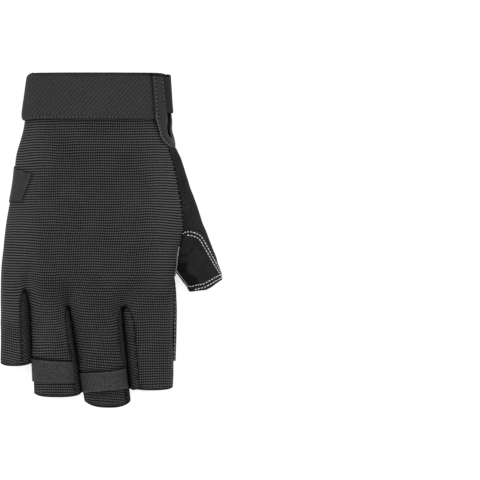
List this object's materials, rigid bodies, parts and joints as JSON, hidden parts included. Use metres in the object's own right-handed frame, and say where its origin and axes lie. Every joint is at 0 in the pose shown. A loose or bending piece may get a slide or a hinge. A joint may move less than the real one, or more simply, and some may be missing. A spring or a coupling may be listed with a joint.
{
  "type": "climbing glove",
  "caption": "Half-finger climbing glove for the right hand, sewn from ribbed stretch cloth and suede, with an elastic cuff, a closing tab and pull loops on the fingers.",
  "frame": {"origin": "centre of the palm, on the plane that the glove lies on", "axes": "+X towards the thumb, +Y towards the wrist, +Z out of the back of the hand"},
  "size_m": [0.12, 0.18, 0.028],
  "materials": {
    "ribbed_cloth": "matte ribbed stretch cloth, charcoal",
    "suede": "short napped suede, near black",
    "patch_suede": "smoother suede, near black",
    "elastic": "matte twill elastic, charcoal",
    "binding_tape": "matte woven tape, charcoal",
    "hook_tape": "matte hook and loop tape, charcoal",
    "ribbon": "semi-matte ribbon, dark grey",
    "label": "plain woven label, dark grey"
  },
  "bodies": {
    "root": {"back_panel": "ribbed_cloth", "palm_panel": "suede", "thumb_shell": "suede", "fourchette_little_ring": "ribbed_cloth", "fourchette_ring_middle": "ribbed_cloth", "fourchette_middle_index": "ribbed_cloth", "cuff_band": "elastic", "slit_binding": "binding_tape", "closure_tab": "hook_tape", "thumb_patch": "patch_suede", "palm_patch": "patch_suede", "side_label": "label", "pull_loop_ring": "ribbon", "pull_loop_middle": "ribbon"}
  },
  "joints": []
}
